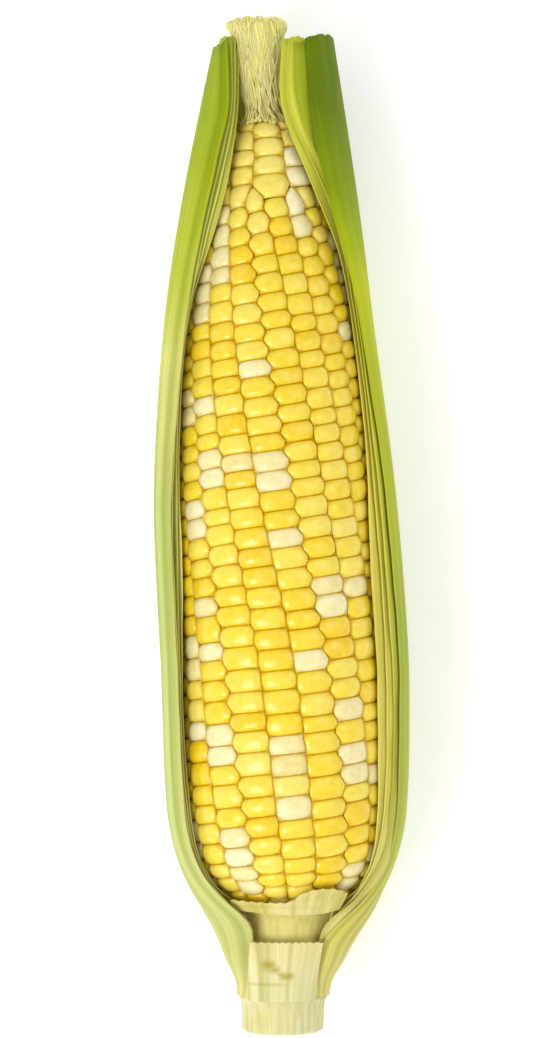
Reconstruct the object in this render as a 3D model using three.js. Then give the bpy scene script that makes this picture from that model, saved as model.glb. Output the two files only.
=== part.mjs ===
// A fresh ear of bicolour sweet corn, lying on its back with the front of its husk cut away.
//
// Frame: millimetres, +Z up, +Y from the cut stalk to the tip. The origin is on the surface that the ear
// lies on, below the middle of the ear's bounding box.
//
// A place on the ear is a station, which is the distance from the cut end of the stalk, an angle round the
// ear's axis in degrees, 0 at the front (which faces up) and growing towards +X, and a radius from the axis.
// Every piece is a box or a lathed form bent to such places, so neighbours share their curves and stay clear.

import * as THREE from "three";

const { lerp, smoothstep, degToRad } = THREE.MathUtils;

// ---- Driving dimensions ----

const LENGTH = 244; // cut end of the stalk to the end of the silk

const ROWS = 18; // rows of kernels; maize always has an even number
const KERNEL_PITCH = 4.7; // from one kernel to the next along a row
const EAR_START = 31; // station of the first kernels
const EAR_END = 222.5; // station of the last kernels
const ROWS_MERGE = 200; // from here every second row dies out and its neighbours take its place
const ROWS_MERGED = 213;
const DYING_ROW_END = 209.5; // station of the last kernels of a row that dies out
const SHORTEST_KERNEL = 1.6; // at either end of a row
const ROW_GAP = 0.42; // clear space between two rows
const CREASE_DEPTH = 1.3; // between two kernels of a row
const CROWN_HEIGHT = 1.4; // of the middle of a row above its sides

const LAYERS = 4; // husk leaves on top of each other, counted from the outside
const LEAF_THICKNESS = 0.75;
const LEAF_ROOTS = [9, 14.5, 20.5, 27]; // the stalk's nodes that the leaves of each layer grow from
const ROOT_LENGTH = 9; // over which a leaf spreads from its node to its layer
const LEAF_STATIONS = [
  11.5, 14.5, 17.5, 20.5, 23.5, 27, 31, 36, 43, 52, 76, 100, 125, 148, 170, 188, 203, 214, 226,
];
const CLEARANCE = 0.35; // between neighbouring pieces

// ---- Curves along the ear: [station, value] pairs ----

const axisX = curveThrough([
  [0, 0.3], [12, 0.6], [20, 1.1], [27, 1.6], [34, 1.4], [50, 1.35], [85, 0.95], [100, 0.2], [130, -1.6],
  [175, -3.0], [LENGTH, -1.6],
]);
const axisHeight = curveThrough([
  [0, 27.8], [30, 28.6], [52, 29], [113, 29], [135, 28.1], [150, 27.1], [170, 25.4], [200, 23.0],
  [LENGTH, 20.5],
]);
const earRadius = curveThrough([
  [31, 13.4], [34, 17.6], [40, 22.2], [52, 24.7], [75, 25.2], [110, 24.6], [140, 23.5], [166, 21.4],
  [185, 18.0], [204, 13.2], [213, 10.6], [218.5, 7.6], [EAR_END, 3.4],
]);
const cobRadius = curveThrough([
  [30, 10.4], [40, 12.8], [60, 14], [120, 14], [170, 11.5], [200, 6.4], [212, 2.6],
]);
const stalkRadius = curveThrough([[0, 9.8], [8, 10.0], [20, 10.9], [28, 12.2]]);
const huskRadius = curveThrough([
  [8, 10.8], [12, 12.2], [22, 16.3], [31, 21.4], [41, 26.0], [52, 28.5], [75, 29.5], [113, 29.5],
  [135, 28.6], [170, 25.2], [200, 21.1], [LENGTH, 13.4],
]);
const innerRadius = curveThrough([
  [8, 10.1], [20, 11.2], [27, 12.9], [31, 15.2], [34.5, 19.4], [41, 23.5], [52, 25.3], [75, 25.8],
  [110, 25.2], [140, 24.1], [166, 22.0], [185, 18.8], [204, 14.4], [220, 11.2], [LENGTH, 9.4],
]);

// The angle of row 1: the rows wind round the cob, faster towards the tip.
const frontRowAngle = curveThrough([
  [EAR_START, 32], [60, 22.5], [103, 10.5], [127, 2], [149, -6.5], [176, -18.5], [188, -26], [200, -36],
  [220, -52],
]);

// The leaves' front edges, round the window, as angles by station.
const frontEdges = {
  outerRight: curveThrough([
    [9, 46], [22, 37], [26, 42], [37, 66], [48, 69], [103, 70], [150, 67], [175, 61], [200, 43],
    [220, 33], [240, 33],
  ]),
  secondRight: curveThrough([
    [14, 41], [22, 34.5], [28, 36], [33, 52], [48, 64], [110, 66], [180, 64], [200, 51], [222, 24],
    [240, 22],
  ]),
  thirdRight: curveThrough([
    [20, 45], [28, 45], [33, 53], [48, 60], [103, 64], [180, 66], [200, 51], [222, 16], [240, 17],
  ]),
  innerRight: curveThrough([
    [27, 48], [37, 56], [103, 57.5], [127, 62.5], [144, 66], [178, 66.5], [188, 61], [206, 35.5],
    [223, 9], [240, 12],
  ]),
  outerLeft: curveThrough([
    [9, 52], [22, 35], [28, 33], [34, 46], [38, 53], [46, 59], [80, 61.5], [120, 61], [187, 50], [210, 42],
    [223, 39], [240, 58],
  ]),
  secondLeft: curveThrough([
    [14, 46], [22, 37], [28, 35], [34, 49], [38, 56.5], [46, 61.5], [80, 63], [150, 58.5], [187, 51],
    [210, 42.5], [223, 41], [240, 56],
  ]),
  thirdLeft: curveThrough([
    [20, 46], [28, 46], [38, 57], [46, 61.5], [80, 65], [120, 60.5], [175, 58.5], [187, 51.5],
    [210, 43.5], [223, 43], [240, 57],
  ]),
  innerLeft: curveThrough([
    [27, 48], [33, 51], [46, 61.5], [80, 66.5], [115, 60.5], [139, 62], [175, 60], [187, 51], [199, 44],
    [212, 42], [223, 45], [240, 57],
  ]),
};

// A smooth curve through [station, value] pairs: a cubic between each two, with the slope at each pair taken
// from its neighbours. It is flat past both ends.
function curveThrough(pairs) {
  const slope = (i) => {
    const before = pairs[Math.max(i - 1, 0)];
    const after = pairs[Math.min(i + 1, pairs.length - 1)];
    return (after[1] - before[1]) / (after[0] - before[0]);
  };
  return (station) => {
    const s = THREE.MathUtils.clamp(station, pairs[0][0], pairs.at(-1)[0]);
    const next = Math.max(pairs.findIndex(([x]) => x >= s), 1);
    const [[x0, y0], [x1, y1]] = [pairs[next - 1], pairs[next]];
    const span = x1 - x0;
    const t = (s - x0) / span;
    const rest = 1 - t;
    return (
      y0 * (1 + 2 * t) * rest * rest +
      slope(next - 1) * span * t * rest * rest +
      y1 * t * t * (3 - 2 * t) -
      slope(next) * span * t * t * rest
    );
  };
}

// ---- Places ----

// A place on the ear, in the part's frame.
function onEar(angle, station, radius) {
  const a = degToRad(angle);
  return new THREE.Vector3(
    axisX(station) + radius * Math.sin(a),
    station - LENGTH / 2,
    axisHeight(station) + radius * Math.cos(a),
  );
}

// The same, on the husk. Where the ear's weight presses the husk flat, a leaf lies as deep in the husk as
// elsewhere, and the outermost lies on the surface below.
function onHusk(angle, station, radius) {
  const place = onEar(angle, station, radius);
  const depth = huskRadius(station) - radius;
  place.z = Math.max(place.z, depth);
  return place;
}

// A closed box of across by along cells, bent so that place(u, v, w) gives where each corner goes: u runs
// across from left to right, v from the stalk to the tip and w from the inside to the outside, all 0 to 1.
function bentBox(across, along, place) {
  const box = new THREE.BoxGeometry(1, 1, 1, across, 1, along);
  const at = box.getAttribute("position");
  for (let i = 0; i < at.count; i++) {
    const corner = place(at.getX(i) + 0.5, 0.5 - at.getZ(i), at.getY(i) + 0.5);
    at.setXYZ(i, corner.x, corner.y, corner.z);
  }
  box.computeVertexNormals();
  return box;
}

// A closed prism with along cells along it, bent so that place(side, height, v) gives where each corner goes.
// Its section is a list of [side, height] corners, clockwise as seen from the tip.
function bentPrism(section, along, place) {
  const prism = new THREE.CylinderGeometry(1, 1, 1, section.length, along);
  const at = prism.getAttribute("position");
  for (let i = 0; i < at.count; i++) {
    const turn = Math.atan2(at.getX(i), at.getZ(i)) / (2 * Math.PI);
    const corner = Math.round((turn + 1) * section.length) % section.length;
    const isCapCentre = Math.hypot(at.getX(i), at.getZ(i)) < 0.5;
    const [side, height] = isCapCentre ? [0, 0.5] : section[corner];
    const moved = place(side, height, at.getY(i) + 0.5);
    at.setXYZ(i, moved.x, moved.y, moved.z);
  }
  prism.computeVertexNormals();
  return prism;
}

// A form of revolution about the ear's axis, from a profile of [radius, station] pairs, bent with the axis.
// aside gives how far it stands to +X of the axis, by station.
function turned(profile, sides, aside = () => 0) {
  const lathe = new THREE.LatheGeometry(profile.map(([r, s]) => new THREE.Vector2(r, s)), sides);
  const at = lathe.getAttribute("position");
  for (let i = 0; i < at.count; i++) {
    const radius = Math.hypot(at.getX(i), at.getZ(i));
    const angle = THREE.MathUtils.radToDeg(Math.atan2(at.getX(i), at.getZ(i)));
    const corner = onEar(angle, at.getY(i), radius);
    at.setXYZ(i, corner.x + aside(corner.y + LENGTH / 2), corner.y, corner.z);
  }
  lathe.computeVertexNormals();
  return lathe;
}

// ---- Finishes ----

function finish(color, roughness) {
  return new THREE.MeshStandardMaterial({ color, roughness, metalness: 0 });
}

const finishes = {
  kernel: finish(0xf4d84a, 0.3),
  outerHusk: finish(0xa9b84a, 0.6),
  innerHusk: finish(0xd3d486, 0.6),
  silk: finish(0xe0d876, 0.5),
  stalk: finish(0xe6e0b4, 0.65),
};

function piece(name, geometry, material) {
  const mesh = new THREE.Mesh(geometry, material);
  mesh.name = name;
  return mesh;
}

// ---- Cob and stalk: one piece, with the swollen nodes that the husk leaves grow from ----

function makeCobAndStalk() {
  const CUT_BEVEL = 0.6;
  const BUTT = 29.5;
  const profile = [[0, 0], [stalkRadius(0) - CUT_BEVEL, 0], [stalkRadius(0), CUT_BEVEL]];
  for (const s of [4, 8, 14, 20, 25, 28]) profile.push([stalkRadius(s), s]);
  profile.push([cobRadius(BUTT), BUTT]);
  for (const s of [36, 48, 60, 90, 120, 150, 175, 190, 202, 212]) profile.push([cobRadius(s), s]);
  profile.push([0, 213]);
  return piece("cob_and_stalk", turned(profile, 20), finishes.stalk);
}

// ---- Kernels: each row is one piece, a strip whose kernels have grown against each other ----

// Every second row dies out towards the tip. This is 1 while a row has its full share of the ear, 0 where a
// dying row has closed, and 2 where its neighbours have taken its place.
function rowShare(row, station) {
  const merged = smoothstep(station, ROWS_MERGE, ROWS_MERGED);
  return row % 2 ? 1 + merged : 1 - merged;
}

// Where a row's kernel number k begins. Rows start out of step with each other, and kernels vary in length.
function kernelStart(row, k) {
  const outOfStep = 0.5 * Math.sin(row * 2.4);
  const variation = 0.22 * Math.sin(k * 0.83 + row * 1.9) + 0.16 * Math.sin(k * 1.71 + row * 0.7);
  return EAR_START + KERNEL_PITCH * (k + outOfStep + variation);
}

function makeKernelRow(row) {
  const isDying = row % 2 === 0;
  const end = isDying ? DYING_ROW_END : EAR_END;
  const starts = [];
  for (let k = -1; kernelStart(row, k) < end - SHORTEST_KERNEL; k++) {
    if (kernelStart(row, k) > EAR_START + SHORTEST_KERNEL) starts.push(kernelStart(row, k));
  }
  const creases = [EAR_START, ...starts, end];
  const steps = 2 * (creases.length - 1); // a crease, a crown, a crease and so on
  const section = [[0, 2], [1, 1], [1, 0], [-1, 0], [-1, 1]]; // 0 is at the cob and 2 is the middle of the row
  const strip = bentPrism(section, steps, (side, height, v) => {
    const step = Math.round(v * steps);
    const k = Math.floor(step / 2);
    const isCrown = step % 2 === 1;
    const station = isCrown ? (creases[k] + creases[k + 1]) / 2 : creases[k];
    const crest = earRadius(station);
    const relief = Math.min(crest / 22, 1);
    const sides = crest - relief * (CROWN_HEIGHT + (isCrown ? 0 : 0.4 * CREASE_DEPTH));
    const middle = crest - relief * (isCrown ? 0 : CREASE_DEPTH);
    const foot = Math.max(Math.min(cobRadius(station) + CLEARANCE, sides - 1), 0.9);
    const radius = height > 1 ? middle : lerp(foot, sides, height);
    const rowAngle = frontRowAngle(station) + (row - 1) * (360 / ROWS);
    const half = (rowShare(row, station) * 180) / ROWS - THREE.MathUtils.radToDeg(ROW_GAP / 2 / radius);
    return onEar(rowAngle + side * half, station, radius);
  });
  return piece(`kernel_row_${String(row).padStart(2, "0")}`, strip, finishes.kernel);
}

// ---- Husk leaves ----

// The outer face of a leaf in a layer: at its root it clasps the stalk, and it spreads to its layer above.
function leafRadius(layer, station) {
  const root = LEAF_ROOTS[layer];
  const clasping = stalkRadius(station) + CLEARANCE + LEAF_THICKNESS;
  const spread = huskRadius(station) - layer * layerPitch(station);
  return lerp(Math.min(clasping, spread), spread, smoothstep(station, root, root + ROOT_LENGTH));
}

function layerPitch(station) {
  return (huskRadius(station) - innerRadius(station)) / LAYERS;
}

function leafThickness(station) {
  return THREE.MathUtils.clamp(0.7 * layerPitch(station), 0.45, LEAF_THICKNESS);
}

// The angles of a leaf's columns at a station, from its front edge to its back edge. Behind the widest part of
// the ear all leaves have columns at the same angles, so that they lie evenly on each other.
function columnsFrom(frontEdge, back) {
  const [SHARED_FROM, STEP, FRONT_CELLS] = [100, 10, 5];
  const shared = [];
  for (let angle = SHARED_FROM; angle < back; angle += STEP) shared.push(angle);
  return (station) => {
    const front = frontEdge(station);
    const free = [...Array(FRONT_CELLS).keys()].map((i) => lerp(front, SHARED_FROM, i / FRONT_CELLS));
    return [...free, ...shared, back];
  };
}

const mirrored = (columns) => (station) => columns(station).map((angle) => -angle).reverse();

// A leaf with the columns given, from its root to its trimmed tip.
function makeLeaf(name, layer, columns, tip, material) {
  const root = LEAF_ROOTS[layer];
  const stations = [root, ...LEAF_STATIONS.filter((s) => s > root && s < tip), tip];
  const [across, along] = [columns(root).length - 1, stations.length - 1];
  const leaf = bentBox(across, along, (u, v, w) => {
    const station = stations[Math.round(v * along)];
    const angle = columns(station)[Math.round(u * across)];
    const radius = leafRadius(layer, station) - (1 - w) * leafThickness(station);
    return onHusk(angle, station, radius);
  });
  return piece(name, leaf, material);
}

function makeHusk() {
  const { outerHusk, innerHusk } = finishes;
  const right = (edge, back) => columnsFrom(frontEdges[edge], back);
  const left = (edge, back) => mirrored(columnsFrom(frontEdges[edge], back));
  const back = () => [151, 160, 170, 180, 190, 200, 209];
  return [
    makeLeaf("outer_leaf_right", 0, right("outerRight", 149.5), 238.5, outerHusk),
    makeLeaf("outer_leaf_left", 0, left("outerLeft", 149.5), 236.8, outerHusk),
    makeLeaf("outer_leaf_back", 0, back, 237.5, outerHusk),
    makeLeaf("second_leaf_right", 1, right("secondRight", 197), 237, outerHusk),
    makeLeaf("second_leaf_left", 1, left("secondLeft", 161.5), 238.5, outerHusk),
    makeLeaf("third_leaf_right", 2, right("thirdRight", 158), 238, innerHusk),
    makeLeaf("third_leaf_left", 2, left("thirdLeft", 200), 238.6, innerHusk),
    makeLeaf("inner_leaf_right", 3, right("innerRight", 185), 237.6, innerHusk),
    makeLeaf("inner_leaf_left", 3, left("innerLeft", 173), 238, innerHusk),
  ];
}

// ---- Stubs of the front leaves, left where the window was cut ----

// The lower stub clasps the stalk in front. It narrows up to its level cut edge.
function makeLowerStub() {
  const [BASE, CUT_EDGE, THICKNESS] = [8.4, 22, 1.1];
  const left = curveThrough([[BASE, -50], [CUT_EDGE, -32]]);
  const right = curveThrough([[BASE, 44], [CUT_EDGE, 30]]);
  const outside = curveThrough([[BASE, 11.45], [14, 12.1], [CUT_EDGE, 13.7]]);
  const stub = bentBox(12, 4, (u, v, w) => {
    const station = lerp(BASE, CUT_EDGE, v);
    const angle = lerp(left(station), right(station), u);
    return onEar(angle, station, outside(station) - (1 - w) * THICKNESS);
  });
  return piece("front_leaf_stub_lower", stub, finishes.innerHusk);
}

// The upper stub is a narrow collar below the kernels. It rises on the right.
function makeUpperStub() {
  const [left, right] = [-44, 43];
  const foot = curveThrough([[left, 28.4], [0, 27.6], [30, 27.8], [right, 29.2]]);
  const HEIGHT = 3.4;
  const THICKNESS = 1;
  const outside = curveThrough([[27, 14.6], [30, 16.6], [32.5, 18.6], [36, 21.8]]);
  const stub = bentBox(10, 2, (u, v, w) => {
    const angle = lerp(left, right, u);
    const station = foot(angle) + HEIGHT * v;
    return onEar(angle, station, outside(station) - (1 - w) * THICKNESS);
  });
  return piece("front_leaf_stub_upper", stub, finishes.innerHusk);
}

// ---- Silk: the threads lie together in the mouth of the husk, from the ear's tip to the trimmed end ----

function makeSilk() {
  const [SIDES, RAISED] = [12, 3.2];
  const aside = curveThrough([[222.9, -2.2], [230, -3.3], [238, -3.8], [242, -4.4], [LENGTH, -3.8]]);
  const reach = curveThrough([
    [222.9, 3], [225, 4.8], [232, 5.2], [238.4, 5.1], [241, 6.8], [243, 6.4], [LENGTH, 4.6],
  ]);
  const stations = [222.9, 224, 226, 230, 234, 238.4, 239.5, 241, 242, 243, LENGTH];
  const profile = [[0, stations[0]], ...stations.map((s) => [reach(s), s]), [0, LENGTH]];
  const bundle = turned(profile, SIDES, aside);
  bundle.translate(0, 0, RAISED);
  return piece("silk", bundle, finishes.silk);
}

// ---- The ear ----

const husk = new THREE.Group();
husk.add(...makeHusk(), makeLowerStub(), makeUpperStub());

const kernels = new THREE.Group();
for (let row = 1; row <= ROWS; row++) kernels.add(makeKernelRow(row));

const ear = new THREE.Group();
ear.add(makeCobAndStalk(), kernels, husk, makeSilk());

// The frame's origin goes below the middle of the bounding box.
const bounds = new THREE.Box3().setFromObject(ear, true);
ear.position.set(-(bounds.min.x + bounds.max.x) / 2, -(bounds.min.y + bounds.max.y) / 2, -bounds.min.z);

export default ear;
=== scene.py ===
# %% [markdown]
# # An ear of bicolour sweet corn
#
# This lesson builds the looks of a fresh ear of sweet corn around a plain CAD model of it. The ear lies
# on its back, and the front of its husk is cut away. The CAD model holds the sizes and the places. Every
# piece here is a surface that numpy works out as whole arrays, and every finish is a procedural material.
#
# The frame is the CAD model's: metres, +Z up, +Y from the cut stalk to the tip.

import bpy
import numpy as np
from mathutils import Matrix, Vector


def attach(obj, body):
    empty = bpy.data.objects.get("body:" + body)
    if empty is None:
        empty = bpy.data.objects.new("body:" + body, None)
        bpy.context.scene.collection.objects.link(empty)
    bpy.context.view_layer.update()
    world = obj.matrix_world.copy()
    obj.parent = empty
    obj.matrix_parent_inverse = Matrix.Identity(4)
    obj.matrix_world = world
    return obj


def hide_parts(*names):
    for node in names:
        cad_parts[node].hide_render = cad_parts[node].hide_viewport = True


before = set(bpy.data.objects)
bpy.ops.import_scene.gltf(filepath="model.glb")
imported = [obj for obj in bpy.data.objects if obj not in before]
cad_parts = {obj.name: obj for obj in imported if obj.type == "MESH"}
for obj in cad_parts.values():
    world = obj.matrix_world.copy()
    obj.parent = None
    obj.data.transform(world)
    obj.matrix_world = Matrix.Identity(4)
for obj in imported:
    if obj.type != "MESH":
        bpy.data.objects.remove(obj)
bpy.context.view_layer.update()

# %% [markdown]
# ## Places on the ear
#
# A maker measures an ear with three numbers: the station, which is the distance in millimetres from the
# cut end of the stalk, the angle round the axis in degrees, 0 at the front and growing towards +X, and
# the radius from the axis. All shapes below are worked out in those numbers and in millimetres, and only
# the last step turns them into metres. The curves along the ear are the CAD model's own, so the new
# pieces land on the old ones. A few things differ a little from there: three leaves on the left draw back
# further, the silk lies higher and is wider, and the two stubs and the ends of the dying rows have shapes
# and places of their own.


# %% Smooth curves through given points
def curve(*pairs):
    """A smooth curve through (station, value) pairs, as a function that takes whole arrays. Between two
    pairs it is the cubic that meets both with the slope of the line through their outer neighbours."""
    x, y = np.array(pairs, float).T
    before, after = np.maximum(np.arange(len(x)) - 1, 0), np.minimum(np.arange(len(x)) + 1, len(x) - 1)
    slope = (y[after] - y[before]) / (x[after] - x[before])

    def value(station):
        s = np.clip(station, x[0], x[-1])
        i = np.clip(np.searchsorted(x, s) - 1, 0, len(x) - 2)
        span = x[i + 1] - x[i]
        t = (s - x[i]) / span
        rest = 1 - t
        return (
            y[i] * (1 + 2 * t) * rest**2 + slope[i] * span * t * rest**2
            + y[i + 1] * t**2 * (3 - 2 * t) - slope[i + 1] * span * t**2 * rest
        )

    return value


def smoothstep(value, low, high):
    """0 below low, 1 above high, and an S of a cubic between them."""
    t = np.clip((value - low) / (high - low), 0, 1)
    return t * t * (3 - 2 * t)


LENGTH = 244.0
axis_x = curve(
    (0, 0.3), (12, 0.6), (20, 1.1), (27, 1.6), (34, 1.4), (50, 1.35), (85, 0.95), (100, 0.2), (130, -1.6),
    (175, -3.0), (LENGTH, -1.6),
)
axis_height = curve(
    (0, 27.8), (30, 28.6), (52, 29), (113, 29), (135, 28.1), (150, 27.1), (170, 25.4), (200, 23.0),
    (LENGTH, 20.5),
)
ear_radius = curve(
    (31, 13.4), (34, 17.6), (40, 22.2), (52, 24.7), (75, 25.2), (110, 24.6), (140, 23.5), (166, 21.4),
    (185, 18.0), (204, 13.2), (213, 10.6), (218.5, 7.6), (222.5, 3.4),
)
stalk_radius = curve((0, 9.8), (8, 10.0), (20, 10.9), (28, 12.2))
husk_radius = curve(
    (8, 10.8), (12, 12.2), (22, 16.3), (31, 21.4), (41, 26.0), (52, 28.5), (75, 29.5), (113, 29.5),
    (135, 28.6), (170, 25.2), (200, 21.1), (LENGTH, 13.4),
)
inner_radius = curve(
    (8, 10.1), (20, 11.2), (27, 12.9), (31, 15.2), (34.5, 19.4), (41, 23.5), (52, 25.3), (75, 25.8),
    (110, 25.2), (140, 24.1), (166, 22.0), (185, 18.8), (204, 14.4), (220, 11.2), (LENGTH, 9.4),
)

# %% From a place on the ear to a point in the frame
stalk_points = np.array([v.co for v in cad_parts["cob_and_stalk"].data.vertices]) * 1000
cut_face = stalk_points[stalk_points[:, 1] < stalk_points[:, 1].min() + 0.01]
AXIS_SHIFT = float((cut_face[:, 0].min() + cut_face[:, 0].max()) / 2 - axis_x(0))
print("the frame's origin is", round(AXIS_SHIFT, 2), "mm beside the axis's own zero")


def on_ear(angle, station, radius):
    """Points, in millimetres, of places on the ear: a circle of the radius round the axis in the plane of
    the station. The last axis of the result is X, Y, Z."""
    a = np.radians(angle)
    return np.stack(np.broadcast_arrays(
        axis_x(station) + AXIS_SHIFT + radius * np.sin(a),
        station - LENGTH / 2,
        axis_height(station) + radius * np.cos(a),
    ), axis=-1)


def on_husk(angle, station, radius):
    """As on_ear, but where the ear's weight presses the husk flat on the surface below, each leaf lies as
    deep in the husk as it does elsewhere."""
    points = on_ear(angle, station, radius)
    points[..., 2] = np.maximum(points[..., 2], husk_radius(station) - radius)
    return points


# %% [markdown]
# ## Meshes and materials
#
# A few small helpers do what every piece needs. `linear` turns a colour given in sRGB hex into
# the linear numbers that a shader needs. `add` adds one shader node, with its settings and links,
# whatever its kind, and `ramp`, `mix`, `noise` and `bump` add the kinds that come up often.


# %% Helpers
def new_piece(name, points, faces, material, slot, uv=None, **attributes):
    """A smooth-shaded mesh of points in millimetres and of faces, lists of corners. uv holds a (U, V)
    pair for each point, and each named attribute one number for each point."""
    mesh = bpy.data.meshes.new(name)
    mesh.from_pydata(np.asarray(points).reshape(-1, 3) / 1000, [], faces)
    mesh.polygons.foreach_set("use_smooth", np.ones(len(mesh.polygons), bool))
    if uv is not None:
        corners = np.zeros(len(mesh.loops), int)
        mesh.loops.foreach_get("vertex_index", corners)
        layer = mesh.uv_layers.new(name="UVMap")
        layer.uv.foreach_set("vector", np.asarray(uv, float).reshape(-1, 2)[corners].ravel())
    for key, values in attributes.items():
        stored = mesh.attributes.new(key, "FLOAT", "POINT")
        stored.data.foreach_set("value", np.asarray(values, float).ravel())
    mesh.materials.append(material)
    piece = bpy.data.objects.new(name, mesh)
    bpy.context.scene.collection.objects.link(piece)
    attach(piece, "root")
    return piece


def linear(hex_color):
    """An sRGB hex colour as linear RGBA: low values are divided by 12.92, and the others follow the power
    2.4."""
    c = np.array([int(hex_color[i:i + 2], 16) for i in (1, 3, 5)]) / 255
    return (*np.where(c <= 0.04045, c / 12.92, ((c + 0.055) / 1.055) ** 2.4), 1.0)


def add(tree, kind, links=None, **settings):
    """Adds a shader node. The settings are properties of the node, and links gives an input its value or
    the output that feeds it."""
    node = tree.nodes.new(kind)
    for name, value in settings.items():
        setattr(node, name, value)
    for socket, value in (links or {}).items():
        target = node.inputs[socket]
        if isinstance(value, bpy.types.NodeSocket):
            tree.links.new(value, target)
        else:
            target.default_value = value
    return node


def new_material(name):
    """A material with a Principled BSDF, and its node tree and shader."""
    material = bpy.data.materials.new(name)
    material.use_nodes = True
    tree = material.node_tree
    return material, tree, tree.nodes["Principled BSDF"]


def ramp(tree, factor, *stops):
    """A Color Ramp fed by factor, with (position, hex colour) stops."""
    node = add(tree, "ShaderNodeValToRGB", {"Fac": factor})
    while len(node.color_ramp.elements) < len(stops):
        node.color_ramp.elements.new(0.5)
    for element, (position, color) in zip(node.color_ramp.elements, stops):
        element.position, element.color = position, linear(color)
    return node.outputs["Color"]


def mix(tree, factor, first, second, blend="MIX"):
    """The colour of a Mix node, whose inputs 6 and 7 are its two colours."""
    links = {0: factor, 6: first, 7: second}
    return add(tree, "ShaderNodeMix", links, data_type="RGBA", blend_type=blend).outputs[2]


def noise(tree, vector, scale, detail=2, roughness=0.5):
    """The value of a Noise Texture with scale cells to each unit of vector."""
    links = {"Vector": vector, "Scale": scale, "Detail": detail, "Roughness": roughness}
    return add(tree, "ShaderNodeTexNoise", links).outputs["Fac"]


BUMP_HEIGHT = 0.0003  # the height, in metres, that a bump's 0 to 1 stands for


def bump(tree, shader, height, strength):
    """Makes a shader's surface look uneven, by a height from 0 to 1."""
    node = add(tree, "ShaderNodeBump", {"Height": height, "Strength": strength, "Distance": BUMP_HEIGHT})
    tree.links.new(node.outputs["Normal"], shader.inputs["Normal"])


def fill(shader, values):
    """Gives a shader's inputs their values."""
    for socket, value in values.items():
        shader.inputs[socket].default_value = value


# %% [markdown]
# ## Kernel skin
#
# The skin of a fresh kernel, its pericarp, is a taut, clear, waxy film over juicy flesh. It was not
# shaped by a tool but blown tight by the flesh inside, so it gives small clean highlights, and light
# spreads a little way under it. Yellow kernels hold carotene and white ones none. Down in the creases a
# kernel's colour is painted darker, as painted shade with a painted reflection of its neighbours' yellow,
# and pale patches on the tops of the crowns are a painted highlight. Each kernel brings three numbers as
# attributes: how white it is, how deep its tone is, and how high a point is on its crown.


# %% Kernel material
def make_kernel_skin():
    material, tree, shader = new_material("kernel_pericarp")
    tone, white, crown = (add(tree, "ShaderNodeAttribute", attribute_name=key).outputs["Fac"]
                          for key in ("tone", "white", "crown"))
    place = add(tree, "ShaderNodeTexCoord").outputs["Object"]
    flesh = noise(tree, place, 700, 3, 0.6)
    cells = noise(tree, place, 330, 1)
    # Pale patches on the tops of the crowns: a painted highlight.
    highlight_patches = ramp(tree, cells, (0.42, "#000000"), (0.7, "#8e8e8e"))
    painted_crown_highlight = add(tree, "ShaderNodeMath", {0: highlight_patches, 1: crown}, operation="MULTIPLY").outputs[0]
    yellow = ramp(tree, tone, (0, "#efdb6e"), (0.35, "#efd646"), (0.7, "#eecf22"), (1, "#eac610"))
    pale = ramp(tree, tone, (0, "#efe5bc"), (0.6, "#ebdea6"), (1, "#e6d48c"))
    body = mix(tree, white, yellow, pale)
    body = mix(tree, painted_crown_highlight, body, linear("#f8e586"))
    # Painted shade: the colour darkens down in the creases, with a painted reflection of the neighbours'
    # yellow.
    depth = ramp(tree, crown, (0, "#f4dc7a"), (0.2, "#fbeeb4"), (0.45, "#ffffff"))
    crease_shaded = mix(tree, 0.75, body, depth, "MULTIPLY")
    mottle = ramp(tree, flesh, (0.3, "#e9e2cf"), (0.6, "#ffffff"))
    skin = mix(tree, 0.5, crease_shaded, mottle, "MULTIPLY")
    tree.links.new(skin, shader.inputs["Base Color"])
    bump(tree, shader, flesh, 0.12)
    fill(shader, {
        "Roughness": 0.3, "IOR": 1.42, "Subsurface Weight": 0.4, "Subsurface Scale": 0.0025,
        "Subsurface Radius": (1.0, 0.95, 0.35), "Coat Weight": 0.3, "Coat Roughness": 0.12,
    })
    return material


kernel_skin = make_kernel_skin()

# %% [markdown]
# ## Kernels
#
# About 700 kernels sit in 18 rows, which wind slowly round the cob. Each one is pressed against its four
# neighbours, so from above it is a rounded rectangle, and its free end swells into a cushion. One way to
# make them is to copy one kernel 700 times, but then all are alike and none follows the rounding of the
# ear. Here a row is one array of kernels by points, so every kernel gets its own width, length, tilt and
# dent, and the ear's own curves bend it. Each kernel is a closed body of 85 faces.

# %% How the rows run and how the kernels follow each other
ROWS = 18
FIRST, LAST = 30.6, 222.9  # stations where the kernels begin and end
row_angle = curve(
    (31, 32), (60, 22.5), (103, 10.5), (127, 2), (149, -6.5), (176, -18.5), (188, -26), (200, -36),
    (220, -52),
)
kernel_pitch = curve(
    (31, 4.4), (60, 4.9), (100, 4.85), (118, 4.6), (150, 4.35), (172, 4.6), (190, 4.9), (220, 5.1),
)

stations = np.linspace(FIRST, LAST, 3000)
steepness = np.gradient(ear_radius(stations), stations)
crossed = np.sqrt(1 + steepness**2) / kernel_pitch(stations)  # kernels per millimetre of station
kernel_count = np.concatenate([[0], np.cumsum((crossed[1:] + crossed[:-1]) / 2 * np.diff(stations))])
print("kernels along a row:", round(kernel_count[-1], 1))
dice = np.random.default_rng(18)


def last_station(row):
    """Of each two rows one dies out short of the tip, each at a station of its own."""
    return 206 + 4.5 * np.sin(2.6 * row) if row % 2 == 0 else LAST


MOST_KERNELS = 60  # more than any row holds
END_GAP = 0.55  # two kernels of a row meet no nearer than this to FIRST or to the row's end, in kernels


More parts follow.
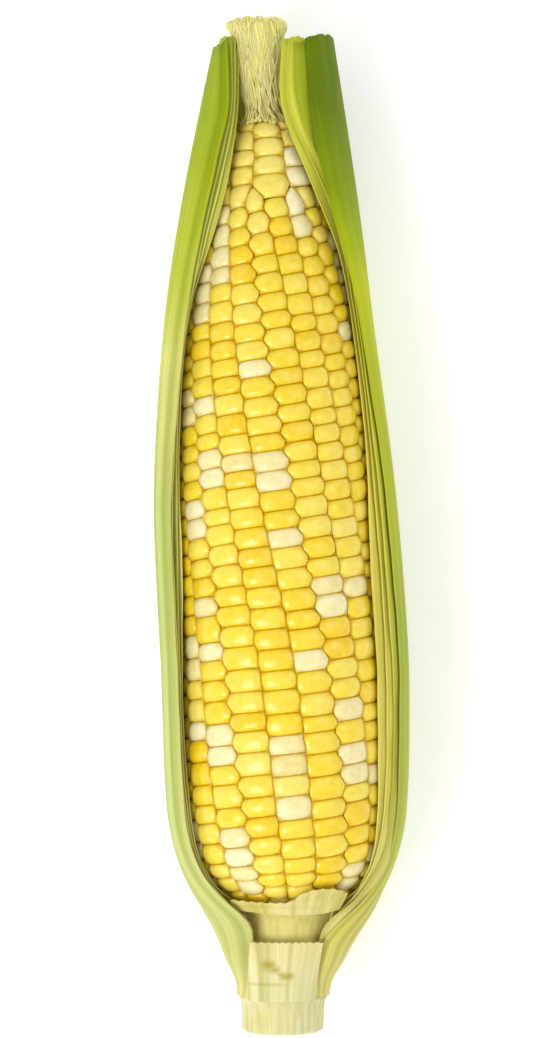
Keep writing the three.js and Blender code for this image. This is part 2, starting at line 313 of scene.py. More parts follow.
def kernel_marks(row):
    """Where a row's kernels begin and end, counted in kernels from the stalk. A row starts a sixth of a
    kernel later than the row on its left, and its kernels differ in length."""
    phase = (-0.17 * (row - 1) - 0.36 + 0.1 * np.sin(2.1 * row)) % 1
    end = np.interp(last_station(row), stations, kernel_count)
    marks = np.arange(MOST_KERNELS) + phase
    marks = marks + 0.06 * np.sin(1.3 * marks + 2.7 * row) + dice.normal(0, 0.045, len(marks))
    marks = marks[(marks > END_GAP) & (marks < end - END_GAP)]
    return np.concatenate([[dice.uniform(0, 0.2)], marks, [end]])


row_marks = {row: kernel_marks(row) for row in range(1, ROWS + 1)}


TAPER, TAPER_ELLIPSE = 7, 7.2  # over how many millimetres a dying row narrows, and the length of its ellipse


def row_share(row, station):
    """A dying row's part of its full width. Over its last millimetres it narrows like the end of an
    ellipse that is a little longer, so it is still a quarter wide at its last station."""
    t = np.clip((station - last_station(row) + TAPER) / TAPER_ELLIPSE, 0, 1)
    return np.sqrt(1 - t**2)


def swelling(row, count):
    """1 at the middle of a kernel of a row and -1 between two kernels, as a cosine."""
    marks = row_marks[row]
    i = np.clip(np.searchsorted(marks, count) - 1, 0, len(marks) - 2)
    within = np.clip((count - marks[i]) / (marks[i + 1] - marks[i]), 0, 1)
    return -np.cos(2 * np.pi * within)


ZIGZAG = 0.55  # how far a kernel pushes into the crease of the row beside it, in millimetres


def border(number, station, count):
    """The angle between a row and the next. It lies on the edge of the one of the two that dies out.
    Where a kernel's middle meets the crease between two kernels of the other row, it swells into that
    crease."""
    row, following = (number - 1) % ROWS + 1, number % ROWS + 1
    start = row_angle(station) + (number - 1) * 360 / ROWS
    half = 180 / ROWS
    if number % 2 == 0:
        middle = start + half * row_share(row, station)
        dying = row
    else:
        middle = start + 2 * half - half * row_share(following, station)
        dying = following
    push = ZIGZAG / 2 * (swelling(row, count) - swelling(following, count)) * row_share(dying, station)
    # A border wanders gently, and more where the rows crowd near the tip.
    wander = 0.8 * np.sin(station / 16 + 1.9 * dying)
    wander = wander + 3 * smoothstep(station, 195, 212) * np.sin(station / 2.9 + 2.3 * dying)
    return middle + wander + np.degrees(push / ear_radius(station))


# %% [markdown]
# The ear has two colours of kernel. Each kernel's colour was set by the pollen grain that it grew from,
# so white ones are strewn at random, about one in six. Silks that lie together catch pollen together, so
# now and then two neighbours in a row are both white. A seeded draw for each kernel gives both.

# %% White kernels
WHITE_SHARE, PAIR_SHARE = 0.13, 0.04  # chances that a kernel is white, and that the next one is white with it


def draw_white(number):
    """Which of a row's kernels are white: those whose draw is low, and those that follow a very low draw."""
    draws = dice.random(number)
    return (draws < WHITE_SHARE) | (np.roll(draws, 1) < PAIR_SHARE)


# %% One row of kernels
ACROSS = np.array([-1, -0.9, -0.55, 0, 0.55, 0.9, 1])
LONG = np.array([-1, -0.85, -0.5, 0, 0.5, 0.85, 1])
SHOULDER, ROOT = 0.14, 1.6  # how far below its crown a kernel fills its whole cell, and how far it goes down
LEAST_ANGLE, LEAST_RADIUS = 0.4, 0.6  # the narrowest half-width in degrees, the least radius in millimetres
crown_height = curve((31, 1.1), (60, 0.95), (180, 1.0), (200, 1.25), (212, 1.5))
corner_rounding = curve((31, 0.6), (60, 0.46), (185, 0.5), (200, 0.7), (212, 0.85))


def grid_faces(rows, columns):
    """The quads of a grid of points that is stored row by row, facing the side from which the columns run
    to the right and the rows upwards."""
    first = (np.arange(rows - 1)[:, None] * columns + np.arange(columns - 1)).ravel()
    return np.stack([first, first + 1, first + columns + 1, first + columns], axis=1)


def grid_rim(rows, columns):
    """The border points of such a grid, once round, anticlockwise."""
    index = np.arange(rows * columns).reshape(rows, columns)
    return np.concatenate([index[0, :-1], index[:-1, -1], index[-1, :0:-1], index[:0:-1, 0]])


def kernel_row(row):
    """The points and faces of a row, each point's height on its crown, and the kernels' middle stations.

    A kernel's crown is the grid of ACROSS by LONG with its corners drawn in: across is multiplied by 1 -
    rounding * long**4 / 3, and long in the same way. Its height is the root of (1 - across**2.2) * (1 -
    long**2): a cushion, steep at the sides. It is laid between the row's two borders, square to the row,
    and the height goes out along the ear's own normal. Just below its crown a kernel fills its whole
    cell, so no gap is open between two of them, and then it draws in to a foot."""
    marks = row_marks[row]
    number = len(marks) - 1
    low, high = marks[:-1, None], marks[1:, None]
    middle = np.interp((low + high) / 2, kernel_count, stations)

    def roll(spread):
        return dice.normal(0, spread, (number, 1))

    u, v = (a.ravel()[None, :] for a in np.meshgrid(ACROSS, LONG))
    rounding = np.clip(corner_rounding(middle) + roll(0.1), 0.2, 1.1)
    x = u * (1 - rounding * v**4 / 3)
    y = v * (1 - rounding * u**4 / 3)
    height = np.sqrt((1 - np.abs(u) ** 2.2) * (1 - v**2)) + 0 * x
    lean = -np.radians(row_angle(middle + 1) - row_angle(middle - 1)) / 2 * ear_radius(middle)
    width = ear_radius(middle) * np.pi / ROWS
    swell = np.minimum(crown_height(middle), 0.45 * width) * (1 + roll(0.08))
    dent = 0.3 * dice.random((number, 1)) ** 2 * np.exp(-(u**2) / 0.16 - v**2 / 0.12)
    tilt = 0.13 * roll(1) * u + 0.12 * roll(1) * v

    def place(x, y, out):
        """Where the ear carries a point that is x half-widths across, y half-lengths along and out mm up."""
        count = (low + high) / 2 + y * (high - low) / 2 + 0.8 * lean * x * width / kernel_pitch(middle)
        station = np.interp(count, kernel_count, stations)
        slope = np.interp(station, stations, steepness)
        left, right = border(row - 1, station, count), border(row, station, count)
        angle = (left + right) / 2 + x * np.maximum((right - left) / 2, LEAST_ANGLE)
        steep = np.sqrt(1 + slope**2)
        radius = np.maximum(ear_radius(station) + out / steep, LEAST_RADIUS)
        return on_ear(angle, station - out * slope / steep, radius)

    top = place(x, y, swell * (height - 1) + height * (tilt - dent + roll(0.08)))
    rim = grid_rim(len(LONG), len(ACROSS))
    shoulder = place(u[:, rim], v[:, rim], -swell - SHOULDER)
    foot = place(u[:, rim] * 0.85, v[:, rim] * 0.8, -swell - ROOT)
    points = np.concatenate([top, shoulder, foot], axis=1)
    crown = np.concatenate([height, np.zeros((number, 2 * len(rim)))], axis=1)

    grid = len(LONG) * len(ACROSS)
    rings = [rim, grid + np.arange(len(rim)), grid + len(rim) + np.arange(len(rim))]
    walls = [
        np.stack([under, np.roll(under, -1), np.roll(over, -1), over], axis=1)
        for over, under in zip(rings, rings[1:])
    ]
    quads = np.concatenate([grid_faces(len(LONG), len(ACROSS)), *walls])
    faces = []
    for start in np.arange(number) * points.shape[1]:
        faces += (quads + start).tolist() + [(rings[-1][::-1] + start).tolist()]
    return points, faces, crown, middle[:, 0]


# %% Make the rows
kernel_total = white_total = 0
for row in range(1, ROWS + 1):
    points, faces, crown, middle = kernel_row(row)
    number, per_kernel = points.shape[:2]
    is_white = draw_white(number)
    white_total += is_white.sum()
    # Kernels grow paler towards the tip: partly their own colour, partly painted light that offsets the
    # husk's shade.
    tone = dice.normal(0.58, 0.22, number) - 0.75 * smoothstep(middle, 185, 208)
    piece = new_piece(
        f"kernels_row_{row:02d}", points, faces, kernel_skin, "kernel", crown=crown,
        tone=np.repeat(np.clip(tone, 0, 1), per_kernel), white=np.repeat(is_white * 1.0, per_kernel),
    )
    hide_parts(f"kernel_row_{row:02d}")
    kernel_total += number
print("kernels:", kernel_total, "of them white:", white_total)

# %% [markdown]
# ## Husk leaf
#
# A husk leaf is a thin sheath with fine ribs that run from its root to its tip. The outermost leaves saw
# the sun and are green, and the inner ones are almost cream. All are pale where they grow from the stalk.
# A fresh leaf is matt and faintly silky along its ribs. The U and V of a leaf's map are its width and its
# station, both divided by the ear's length, so a pattern keeps its size in millimetres.


# %% Leaf material
DRIFT = 0.16  # how far along a leaf its colours wander in all, as a share of the ear's length


def make_leaf(name, *stops):
    """A leaf finish whose colour follows the station, given as (station, hex colour) stops. Fine ribs
    about 1 mm wide and streaks about 4 mm wide run along it."""
    material, tree, shader = new_material(name)
    uv = add(tree, "ShaderNodeUVMap", uv_map="UVMap").outputs["UV"]
    parts = add(tree, "ShaderNodeSeparateXYZ", {"Vector": uv})
    drifting = {0: noise(tree, uv, 9), 1: DRIFT, 2: parts.outputs["Y"]}
    along = add(tree, "ShaderNodeMath", drifting, operation="MULTIPLY_ADD").outputs[0]
    along = add(tree, "ShaderNodeMath", {0: along, 1: DRIFT / 2}, operation="SUBTRACT").outputs[0]
    color = ramp(tree, along, *((station / LENGTH, tint) for station, tint in stops))
    stretched = add(tree, "ShaderNodeMapping", {"Vector": uv, "Scale": (1, 0.022, 1)}).outputs["Vector"]
    ribs = noise(tree, stretched, 260, 3, 0.55)
    streaks = noise(tree, stretched, 62)
    light = ramp(tree, ribs, (0.3, "#dfe2b8"), (0.52, "#ffffff"), (0.7, "#fffff0"))
    ribbed = mix(tree, 0.6, color, light, "MULTIPLY")
    wide = ramp(tree, streaks, (0.34, "#c9cf98"), (0.56, "#ffffff"))
    streaked = mix(tree, 0.7, ribbed, wide, "MULTIPLY")
    tree.links.new(streaked, shader.inputs["Base Color"])
    bump(tree, shader, ribs, 0.25)
    fill(shader, {
        "Roughness": 0.6, "IOR": 1.33, "Specular IOR Level": 0.2,
        "Subsurface Weight": 0.2, "Subsurface Scale": 0.0015, "Subsurface Radius": (0.8, 1.0, 0.25),
    })
    return material


# %% [markdown]
# ## Husk leaves
#
# The nine leaves that are left wrap the ear in four layers. A leaf is a shell: an outer and an inner
# surface, each a function of two parameters, the angle between its two edges and the station between its
# root and its tip, joined by a rim. Solidify could make the wall, but worked out directly it can thin
# towards its cut edges.

# %% Where a leaf lies
LAYERS = 4
LEAF_ROOTS = (9, 14.5, 20.5, 27)
FRONT_EDGES = {
    "outer_right": curve(
        (9, 46), (22, 37), (26, 42), (37, 66), (48, 69), (103, 70), (150, 67), (175, 61), (200, 43),
        (220, 33), (240, 33),
    ),
    "second_right": curve(
        (14, 41), (22, 34.5), (28, 36), (33, 52), (48, 64), (110, 66), (180, 64), (200, 51), (222, 24),
        (240, 22),
    ),
    "third_right": curve(
        (20, 45), (28, 45), (33, 53), (48, 60), (103, 64), (180, 66), (200, 51), (222, 16), (240, 17),
    ),
    "inner_right": curve(
        (27, 48), (37, 56), (103, 57.5), (127, 62.5), (144, 66), (178, 66.5), (188, 61), (206, 35.5),
        (223, 9), (240, 12),
    ),
    "outer_left": curve(
        (9, 52), (22, 35), (28, 33), (34, 46), (38, 53), (46, 59), (80, 61.5), (120, 61), (187, 50),
        (210, 42), (223, 39), (240, 58),
    ),
    "second_left": curve(
        (14, 46), (22, 37), (28, 35), (34, 49), (38, 56.5), (46, 61.5), (80, 63), (150, 58.5), (187, 51),
        (210, 42.5), (223, 41), (240, 56),
    ),
    "third_left": curve(
        (20, 46), (28, 46), (38, 57), (46, 61.5), (80, 65), (120, 60.5), (175, 58.5), (187, 51.5),
        (210, 43.5), (223, 43), (240, 57),
    ),
    "inner_left": curve(
        (27, 48), (33, 51), (46, 61.5), (80, 66.5), (115, 60.5), (139, 62), (175, 60), (187, 51), (199, 44),
        (212, 42), (223, 45), (240, 57),
    ),
}


def leaf_radius(layer, station):
    """The outer face of a layer. At its root a leaf clasps the stalk, and over 9 mm it spreads to its
    layer."""
    root = LEAF_ROOTS[layer]
    pitch = (husk_radius(station) - inner_radius(station)) / LAYERS
    spread = husk_radius(station) - layer * pitch
    clasping = np.minimum(stalk_radius(station) + 1.1, spread)
    return clasping + (spread - clasping) * smoothstep(station, root, root + 9)


def leaf_thickness(station):
    return np.clip(0.7 * (husk_radius(station) - inner_radius(station)) / LAYERS, 0.45, 0.75)


def shell(outer, inner):
    """Faces of a closed wall between two grids of points of the same size, outer first: the outer grid's
    quads, the inner's turned round, and a rim from border to border."""
    rows, columns = outer.shape[:2]
    count = rows * columns
    front = grid_faces(rows, columns)
    rim = grid_rim(rows, columns)
    following = np.roll(rim, -1)
    edge = np.stack([rim + count, following + count, following, rim], axis=1)
    return np.concatenate([front, front[:, ::-1] + count, edge]).tolist()


LEAF_GRID = 110, 90  # points across a leaf and along it
THIN_EDGE = 0.35  # a leaf's thickness at its two side edges, as a part of its full thickness
MEAN_FRONT, MEAN_RADIUS = 60, 27  # the degrees and millimetres by which the map measures a leaf's width
UV_STEP = 0.37  # how far the map moves on from one leaf or thread to the next, so that no two look alike


def leaf(name, node, layer, side, front, back, tip, material, ripple, seed, slot="husk_outer"):
    """One leaf. Its place at (u, v), from its front edge to its back edge and from its root to its tip,
    is the angle front + (back - front) * u, the station root + (tip - root) * v, and its layer's radius,
    plus ribs and soft waves that run along it. side is 1 for a leaf on the +X side and -1 for its mirror
    image."""
    columns, rows = LEAF_GRID
    root = LEAF_ROOTS[layer]
    rng = np.random.default_rng(seed)
    u = np.linspace(0, 1, columns)[None, :]
    v = (np.linspace(0, 1, rows) ** 1.25)[:, None]
    trimmed = tip(u) + 0.25 * np.sin(40 * u + seed) + rng.normal(0, 0.12, (1, columns))
    station = root + (trimmed - root) * v
    edge = front(station) + (0.5 * np.sin(station / 7 + seed) + 0.25 * np.sin(station / 2.3 + 2 * seed)) / 1.3
    angle = edge + (back - edge) * u
    full = smoothstep(u, 0, 0.07) * smoothstep(1 - u, 0, 0.03)
    thick = leaf_thickness(station) * (THIN_EDGE + (1 - THIN_EDGE) * full)
    ribs = 0.035 * np.sin(2 * np.pi * ripple * u + 1.5 * np.sin(2.2 * u + seed))
    waves = 0.05 * np.sin(2 * np.pi * (3.3 * u + seed) + station / 40)
    waves = waves + 0.04 * np.sin(2 * np.pi * 7.1 * u - station / 23)
    fade = smoothstep(v, 0, 0.06)
    sag = 0.74 * (1 - smoothstep(u, 0, 0.08)) * smoothstep(station, root + 4, root + 12)
    clasp = 1.4 * (1 - smoothstep(u, 0, 0.16)) * smoothstep(station, root + 1, root + 8)
    sag = sag + clasp * (1 - smoothstep(station, 25, 33))
    radius = leaf_radius(layer, station) + fade * (ribs + waves) - sag
    outer = on_husk(side * angle, station, radius)
    inner = on_husk(side * angle, station, radius - thick)
    arc = np.radians(back - MEAN_FRONT) * MEAN_RADIUS * u + 0 * v
    uv = np.stack([arc / LENGTH + UV_STEP * seed, station / LENGTH], axis=-1)
    if side < 0:
        outer, inner, uv = outer[:, ::-1], inner[:, ::-1], uv[:, ::-1]
    points = np.concatenate([outer.reshape(-1, 3), inner.reshape(-1, 3)])
    uv = np.concatenate([uv.reshape(-1, 2)] * 2)
    piece = new_piece(name, points, shell(outer, inner), material, slot, uv=uv)
    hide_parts(node)


# %% Leaf finishes
green_right = make_leaf(
    "husk_green_sunlit", (10, "#dcd28c"), (25, "#cdc468"), (45, "#bcc058"), (100, "#a7b045"),
    (140, "#b0b730"), (175, "#b9c122"), (195, "#97a80c"), (225, "#637a02"), (243, "#6b8204"),
)
green_left = make_leaf(
    "husk_green_shaded", (10, "#d6ce8c"), (25, "#c3c37a"), (45, "#bfc47a"), (130, "#bcc270"),
    (160, "#d2d078"), (185, "#b4bd32"), (205, "#a6b220"), (225, "#94a314"), (243, "#8c9c12"),
)
middle_right = make_leaf(
    "husk_middle_right", (12, "#dcd28c"), (60, "#c6c058"), (150, "#c8c846"), (243, "#a8b428"),
)
middle_left = make_leaf(
    "husk_middle_left", (12, "#dcd28c"), (60, "#d8d68c"), (150, "#cfd27e"), (243, "#b3bf40"),
)
pale_right = make_leaf(
    "husk_pale_right", (15, "#e2d890"), (60, "#eee078"), (150, "#e8dc62"), (200, "#d8d652"), (243, "#c4c844"),
)
pale_left = make_leaf(
    "husk_pale_left", (15, "#e2d890"), (60, "#f0eca2"), (150, "#ebe890"), (200, "#d8d868"), (243, "#c8cc5c"),
)
green_back = make_leaf(
    "husk_green_back", (10, "#dcd28c"), (45, "#bcc263"), (120, "#a4b046"), (200, "#869a20"), (243, "#728a10"),
)


# %% Make the leaves
def level(tip, *steps):
    """A trimmed tip: level at one station, with (u, rise) points where the cut was uneven."""
    return curve(*((u, tip + rise) for u, rise in steps)) if steps else (lambda u: tip + 0 * u)


def drawn_back(name, degrees):
    """A leaf's front edge where it has dried and drawn back, by up to so many degrees in the middle of
    the ear."""
    def edge(station):
        further = degrees * smoothstep(station, 50, 80) * (1 - smoothstep(station, 150, 185))
        return FRONT_EDGES[name](station) + further
    return edge


leaf("husk_outer_right", "outer_leaf_right", 0, 1, FRONT_EDGES["outer_right"], 149.5,
     level(238.5, (0, -1.2), (0.1, 0.2), (0.5, 0.3), (1, -1.5)), green_right, 46, 1)
leaf("husk_outer_left", "outer_leaf_left", 0, -1, FRONT_EDGES["outer_left"], 149.5,
     level(236.8, (0, 1.5), (0.08, 0), (0.5, -0.5), (1, -1)), green_left, 44, 2)
leaf("husk_second_right", "second_leaf_right", 1, 1, FRONT_EDGES["second_right"], 197,
     level(237), middle_right, 60, 3)
leaf("husk_second_left", "second_leaf_left", 1, -1, drawn_back("second_left", 3), 161.5,
     level(238.5), middle_left, 50, 4)
leaf("husk_third_right", "third_leaf_right", 2, 1, FRONT_EDGES["third_right"], 158,
     level(238), pale_right, 52, 5, "husk_inner")
leaf("husk_third_left", "third_leaf_left", 2, -1, drawn_back("third_left", 3.5), 200,
     level(238.6), pale_left, 62, 6, "husk_inner")
leaf("husk_inner_right", "inner_leaf_right", 3, 1, FRONT_EDGES["inner_right"], 185,
     level(237.6), pale_right, 64, 7, "husk_inner")
leaf("husk_inner_left", "inner_leaf_left", 3, -1, drawn_back("inner_left", 4), 173,
     level(238), pale_left, 58, 8, "husk_inner")
leaf("husk_outer_back", "outer_leaf_back", 0, 1, lambda s: 151 + 0 * s, 209, level(237.5), green_back, 26, 9)

# %% [markdown]
# ## Cob and stalk
#
# The stalk is solid: a rind round a fibrous pith, with a ring at each node where a leaf was attached. It
# was cut across with a knife, so its end is flat, with a soft edge. It carries on into the cob, which the
# kernels hide. A profile turned round the axis makes both, and the profile bulges at the rings.


# %% Rind and pith material
SHEATH_STARTS = 18, 23.5  # between these stations the rind turns yellower, as it does inside the husk


def make_rind():
    material, tree, shader = new_material("stalk_rind_and_pith")
    place = add(tree, "ShaderNodeTexCoord").outputs["Object"]
    stretched = add(tree, "ShaderNodeMapping", {"Vector": place, "Scale": (1, 0.12, 1)}).outputs["Vector"]
    fibres = noise(tree, stretched, 900, 3)
    blotches = noise(tree, place, 90)
    color = ramp(tree, blotches, (0.3, "#ccc67e"), (0.55, "#d6d09e"), (0.75, "#d0ca90"))
    fine = ramp(tree, fibres, (0.35, "#d9d2a6"), (0.6, "#ffffff"))
    height = add(tree, "ShaderNodeSeparateXYZ", {"Vector": place}).outputs["Y"]
    bare, covered = ((station - LENGTH / 2) / 1000 for station in SHEATH_STARTS)
    sheathed = add(tree, "ShaderNodeMapRange", {0: height, 1: bare, 2: covered}).outputs["Result"]
    color = mix(tree, sheathed, color, linear("#dacd78"))
    mixed = mix(tree, 0.45, color, fine, "MULTIPLY")
    tree.links.new(mixed, shader.inputs["Base Color"])
    bump(tree, shader, fibres, 0.3)
    fill(shader, {
        "Roughness": 0.6, "IOR": 1.45,
        "Subsurface Weight": 0.15, "Subsurface Scale": 0.002, "Subsurface Radius": (1.0, 0.9, 0.5),
    })
    return material


rind = make_rind()

# %% Make the stalk and cob
cob_radius = curve((30, 10.4), (40, 12.8), (60, 14), (120, 14), (170, 11.5), (200, 6.4), (212, 2.6))


def turned(profile, sides):
    """Points and faces of a profile of (radius, station) pairs turned round the ear's axis. The first and
    the last radius are 0, and each is one point."""
    radius, station = np.array(profile).T
    angle = np.arange(sides) * 360 / sides
    rings = on_ear(angle[None, :], station[1:-1, None], radius[1:-1, None])
    points = np.concatenate([rings.reshape(-1, 3), on_ear(0, station[[0, -1]], radius[[0, -1]])])
    count = len(radius) - 2
    following = np.roll(np.arange(sides), -1)
    first = (np.arange(count - 1)[:, None] * sides + np.arange(sides)).ravel()
    second = (np.arange(count - 1)[:, None] * sides + following).ravel()
    walls = np.stack([first, second, second + sides, first + sides], axis=1).tolist()
    start, end = count * sides, count * sides + 1
    top = (count - 1) * sides
    caps = [[start, int(following[i]), i] for i in range(sides)]
    caps += [[end, top + i, top + int(following[i])] for i in range(sides)]
    return points, walls + caps


ring_stations, ring_heights = (8.6, 14.5, 21.5), (0.5, 0.35, 0.35)
along_stalk = np.linspace(0.9, 28, 70)
bulge = sum(h * np.exp(-((along_stalk - s) / 0.9) ** 2) for s, h in zip(ring_stations, ring_heights))
stalk_profile = [(0, 0.0), (4, 0.0), (8, 0.05), (8.8, 0.2), (9.2, 0.5)]
stalk_profile += list(zip(stalk_radius(along_stalk) + bulge, along_stalk))
stalk_profile += [(12.9, 29.2), (14.2, 30.6), (13.6, 31.4)]
stalk_profile += [(float(cob_radius(s)), s) for s in range(33, 213, 3)] + [(0, 213)]
points, faces = turned(stalk_profile, 72)
stalk = new_piece("cob_and_stalk_rind", points, faces, rind, "stalk")
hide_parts("cob_and_stalk")

# %% [markdown]
# ## Stubs of the front leaves
#
# Where the front leaves were cut away their feet stay on, as two short bands that clasp the stalk, one
# above the other. What shows is the inner side of a sheath, cream and smooth, with a raw upper edge and
# brown scars where the knife slipped. A band could be cut out of a leaf with a Boolean, but that leaves a
# clean machine edge. Here it is a shell of its own, with a ragged edge and shallow dents, and its sides
# rise to meet the leaves.

# %% Make the stubs
def make_sheath():
    """The inner face of a cut sheath: cream, with brown where it was scratched."""
    material = make_leaf(
        "husk_sheath_cream", (8, "#d8d2a0"), (16, "#dcd4a4"), (24, "#dcd096"), (30, "#d9ca7a"),
        (60, "#d6c674"),
    )
    tree = material.node_tree
    shader = tree.nodes["Principled BSDF"]
    color = shader.inputs["Base Color"].links[0].from_socket
    scar = add(tree, "ShaderNodeAttribute", attribute_name="scar").outputs["Fac"]
    tree.links.new(mix(tree, scar, color, linear("#a89a34")), shader.inputs["Base Color"])
    return material


UNDER_HUSK = 0.7  # how far inside the husk's outer face a stub's sides end where lift is 1, in millimetres
STUB_RADIUS = 14  # the radius, in millimetres, by which the map measures a stub's width


def stub(name, node, left, right, foot, edge, outside, thickness, lift, marks, material):
    """A short band of sheath that clasps the stalk in front. Its place at (u, v) is the angle between
    left(station) and right(station), the station between foot(angle) and edge(angle), and the radius
    outside(station), which rises at both sides to meet the leaves as far as lift says. Each mark is a
    dent, given as (angle, station, width in degrees, height in mm, depth in mm, brown)."""
    u = np.linspace(0, 1, 150)[None, :]
    v = np.linspace(0, 1, 80)[:, None]
    rough = left(20) + (right(20) - left(20)) * u
    ragged = 0.12 * np.sin(rough * 0.9) + 0.08 * np.sin(rough * 2.3)
    station = foot(rough) + (edge(rough) + ragged - foot(rough)) * v
    angle = left(station) + (right(station) - left(station)) * u
    below = np.maximum(husk_radius(station) - UNDER_HUSK - outside(station), 0)
    meets = below * lift * np.abs(2 * u - 1) ** 2.5
    radius = outside(station) + meets + 0.05 * np.sin(angle * 0.8) + 0.03 * np.sin(angle * 2.1)
    scar = 0 * angle
    for at_angle, at_station, wide, high, depth, brown in marks:
        bell = np.exp(-((angle - at_angle) / wide) ** 4 - ((station - at_station) / high) ** 2)
        radius, scar = radius - depth * bell, np.maximum(scar, brown * bell)
    wall = thickness * (0.5 + 0.5 * smoothstep(1 - v, 0, 0.12))
    outer = on_ear(angle, station, radius)
    inner = on_ear(angle, station, radius - wall)
    uv = np.stack([np.radians(angle) * STUB_RADIUS / LENGTH + 0.5, station / LENGTH], axis=-1).reshape(-1, 2)
    points = np.concatenate([outer.reshape(-1, 3), inner.reshape(-1, 3)])
    piece = new_piece(name, points, shell(outer, inner), material, "husk_inner", uv=np.concatenate([uv, uv]),
                      scar=np.concatenate([scar, scar]))
    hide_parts(node)


sheath = make_sheath()
stub("husk_stub_lower", "front_leaf_stub_lower", curve((8.4, -51), (22, -34)), curve((8.4, 45), (22, 33)),
     lambda a: 8.4 + 0 * a, lambda a: 22.8 + 0 * a, curve((8.4, 11.45), (14, 12.2), (22, 14.0)), 1.1, 1.0,
     ((-22, 12.6, 26, 0.35, 0.3, 0.35), (-18, 17.3, 8, 1.2, 0.3, 0.9), (-11, 16.2, 6, 0.8, 0.25, 0.8),
      (3, 14.6, 8, 0.9, 0.3, 0.85), (-4, 15.1, 5, 0.5, 0.2, 0.6)), sheath)
stub("husk_stub_upper", "front_leaf_stub_upper", lambda s: -44 + 0 * s, lambda s: 43 + 0 * s,
     curve((-44, 30.4), (0, 29.6), (30, 29.8), (43, 30.6)),
     curve((-44, 33.0), (-8, 32.6), (2, 33.0), (10, 35.0), (20, 36.0), (32, 35.8), (43, 34.6)),
     curve((27, 14.6), (30, 16.6), (32.5, 18.8), (34, 20.0), (36, 21.9)), 1.0, 0.25,
     ((-10, 31.4, 40, 0.35, 0.2, 0.15), (14, 33.6, 3, 1.5, 0.5, 0.25), (24, 34.6, 2.5, 1.2, 0.5, 0.2),
      (33, 34, 2, 1.6, 0.4, 0.25)), sheath)

# %% [markdown]
# ## Silk
#
# Each kernel sends one silk out past the tip, so several hundred threads lie together in the mouth of the
# husk and were cut off level. They are moist and pale, and brown a little where they leave the kernels.
# Hair curves would draw them, but they are no mesh that can be handed over. So each thread is a thin
# square tube along its own path, and a core of the same finish closes the bundle behind them.

# %% Silk material
def make_silk():
    material, tree, shader = new_material("silk_threads_moist")
    uv = add(tree, "ShaderNodeUVMap", uv_map="UVMap").outputs["UV"]
    patches = noise(tree, uv, 14)
    color = ramp(tree, patches, (0.3, "#f6ea7c"), (0.5, "#fcf28c"), (0.7, "#fff8a2"))
    along = add(tree, "ShaderNodeSeparateXYZ", {"Vector": uv}).outputs["Y"]
    low = add(tree, "ShaderNodeMapRange", {0: along, 1: 227 / LENGTH, 2: 219 / LENGTH}).outputs["Result"]
    speckled = ramp(tree, patches, (0.52, "#000000"), (0.6, "#ffffff"))
    dry = add(tree, "ShaderNodeMath", {0: low, 1: speckled}, operation="MULTIPLY").outputs[0]
    color = mix(tree, dry, color, linear("#9a7a2a"))
    tree.links.new(color, shader.inputs["Base Color"])
    fill(shader, {
        "Roughness": 0.5, "IOR": 1.4,
        "Subsurface Weight": 0.5, "Subsurface Scale": 0.002, "Subsurface Radius": (1.0, 0.95, 0.4),
    })
    return material


silk_finish = make_silk()

# %% Paths of the threads
THREADS, KNOTS, SIDES = 560, 24, 4
RAISED = 4.0  # how far above the ear's axis the bundle lies, in millimetres
THREAD_RADIUS = 0.25  # the radius of a thread at its start, in millimetres
silk_aside = curve((222.9, -2.2), (230, -3.3), (238, -3.8), (242, -4.4), (LENGTH, -3.8))
silk_reach = curve((219, 4.8), (222.9, 5.0), (225, 5.2), (232, 5.4), (237.5, 5.7), (241, 7.3), (LENGTH, 7.6))
rng = np.random.default_rng(7)


def roll(low, high):
    """One even draw for each thread."""
    return rng.uniform(low, high, (THREADS, 1))


def silk_middle(station):
    """The middle of the bundle as seen from the ear's axis: X, Y, Z in millimetres, as the last axis."""
    return np.stack([silk_aside(station), 0 * station, RAISED + 0 * station], axis=-1)


t = np.linspace(0, 1, KNOTS)[None, :]
out = np.sqrt(roll(0.3, 1))
start = roll(217.5, 222.5)
end = LENGTH - 0.1 - 1.8 * out**4 - roll(0, 0.8)
station = start + (end - start) * t
bundled = roll(0, 360) + rng.normal(0, 25, (THREADS, 1)) * t + 9 * np.sin(7 * t + roll(0, 6))
gathered = smoothstep(station, 214, 225)
ear_there = ear_radius(np.minimum(station, 222)) + 0.35
lying = on_ear(bundled, station, ear_there)
standing = on_ear(bundled, station, out * silk_reach(station)) + silk_middle(station)
path = lying * (1 - gathered[..., None]) + standing * gathered[..., None]

# %% Make the silk
ring = np.arange(SIDES) * 2 * np.pi / SIDES
around = np.stack([np.sin(ring), 0 * ring, np.cos(ring)], axis=-1)
thick = THREAD_RADIUS * (1 - 0.3 * t)[..., None, None]
threads = path[:, :, None, :] + thick * around
tube = grid_faces(KNOTS, SIDES + 1)
tube = (tube // (SIDES + 1)) * SIDES + tube % (SIDES + 1) % SIDES
faces = []
for first in np.arange(THREADS) * KNOTS * SIDES:
    faces += (tube + first).tolist()
    faces += [list(range(first + SIDES - 1, first - 1, -1))]
    faces += [list(range(first + (KNOTS - 1) * SIDES, first + KNOTS * SIDES))]
shift = np.arange(THREADS)[:, None, None] * UV_STEP
uv = np.stack(np.broadcast_arrays(shift, station[..., None] / LENGTH), axis=-1)
uv = np.broadcast_to(uv, (THREADS, KNOTS, SIDES, 2)).reshape(-1, 2)
core_stations = np.linspace(223, LENGTH - 2.2, 16)
core_reach = 0.95 * silk_reach(core_stations) * smoothstep(core_stations, 215, 230)
core_profile = [(0, 222.5), *zip(core_reach, core_stations), (0, LENGTH - 1.6)]
core_points, core_faces = turned(core_profile, 24)
core_station = core_points[:, 1] + LENGTH / 2
core_points = core_points + silk_middle(core_station)
core_uv = np.stack([core_points[:, 0] / 3, core_station / LENGTH], axis=-1)
count = THREADS * KNOTS * SIDES
faces += [[corner + count for corner in face] for face in core_faces]
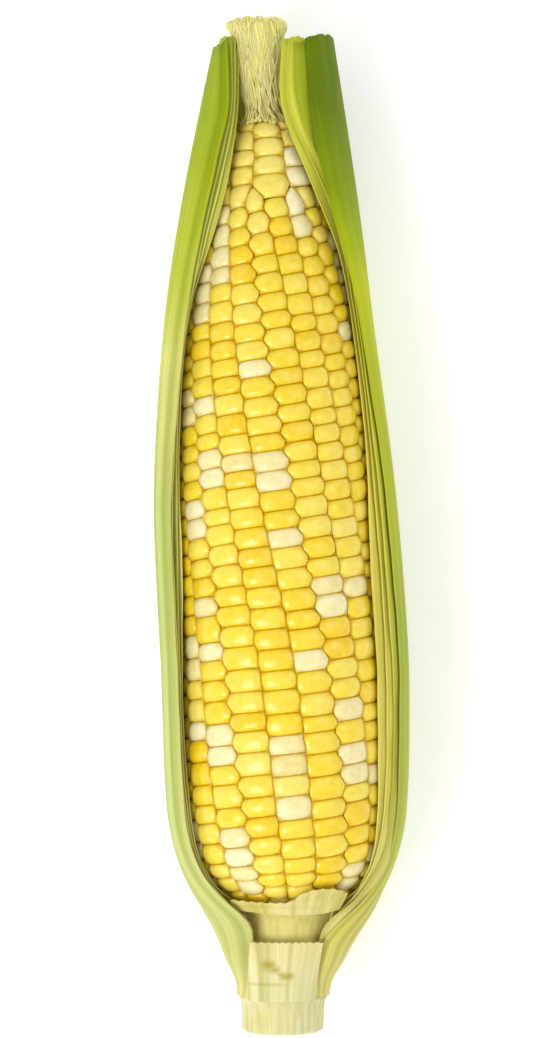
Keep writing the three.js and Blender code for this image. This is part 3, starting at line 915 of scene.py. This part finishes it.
points = np.concatenate([threads.reshape(-1, 3), core_points])
silk = new_piece("silk_threads", points, faces, silk_finish, "silk", uv=np.concatenate([uv, core_uv]))
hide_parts("silk")
print("silk:", THREADS, "threads,", len(faces), "faces")

# %% [markdown]
# ## Floor, light and camera
#
# The ear lies on matt white paper in a white room, so its shadows are short and soft. The paper gives off
# a little light of its own, which keeps it white in the ear's shade. A large soft light above the stalk,
# on the left, gives each kernel a small highlight and shades the right side of its crown, and a weaker
# one opposite keeps the creases open. The camera looks straight down from one metre, far enough that the
# ear hardly narrows towards its edges.

# %% Stage
def make_floor():
    mesh = bpy.data.meshes.new("floor")
    half = 2.5
    corners = [(-half, -half, 0), (half, -half, 0), (half, half, 0), (-half, half, 0)]
    mesh.from_pydata(corners, [], [(0, 1, 2, 3)])
    material, tree, shader = new_material("paper_white_matt")
    place = add(tree, "ShaderNodeTexCoord").outputs["Object"]
    grain = ramp(tree, noise(tree, place, 300), (0, "#fbfbfa"), (1, "#ffffff"))
    tree.links.new(grain, shader.inputs["Base Color"])
    fill(shader, {"Roughness": 0.9, "Emission Color": (1, 1, 1, 1), "Emission Strength": 0.2})
    mesh.materials.append(material)
    floor = bpy.data.objects.new("floor", mesh)
    bpy.context.scene.collection.objects.link(floor)


make_floor()
scene = bpy.context.scene
world = bpy.data.worlds.new("studio")
scene.world = world
world.use_nodes = True
world.node_tree.nodes["Background"].inputs[0].default_value = (1, 1, 1, 1)
world.node_tree.nodes["Background"].inputs[1].default_value = 0.78
scene.view_settings.view_transform = "Standard"


def softbox(name, place, target, size, power):
    """A square area light at a place, turned to a target. Places are in metres and power is in watts."""
    light = bpy.data.lights.new(name, "AREA")
    light.size, light.energy = size, power
    lamp = bpy.data.objects.new(name, light)
    lamp.location = place
    lamp.rotation_mode = "QUATERNION"
    lamp.rotation_quaternion = (Vector(target) - Vector(place)).to_track_quat("-Z", "Y")
    scene.collection.objects.link(lamp)


softbox("key", (-0.45, -0.35, 0.75), (0, 0, 0.03), 0.45, 4.5)
softbox("fill", (0.6, 0.3, 0.7), (0, 0, 0.03), 0.6, 1.5)

camera_data = bpy.data.cameras.new("camera")
camera = bpy.data.objects.new("camera", camera_data)
scene.collection.objects.link(camera)
scene.camera = camera
# In metres: the height of the camera, that of the ear's outline, and what the view's long side shows there.
DISTANCE, OUTLINE_HEIGHT, FRAME_LONG_SIDE = 1.0, 0.027, 0.2491
camera_data.lens = camera_data.sensor_width * (DISTANCE - OUTLINE_HEIGHT) / FRAME_LONG_SIDE
camera.location = (-0.0012, 0.0009, DISTANCE)
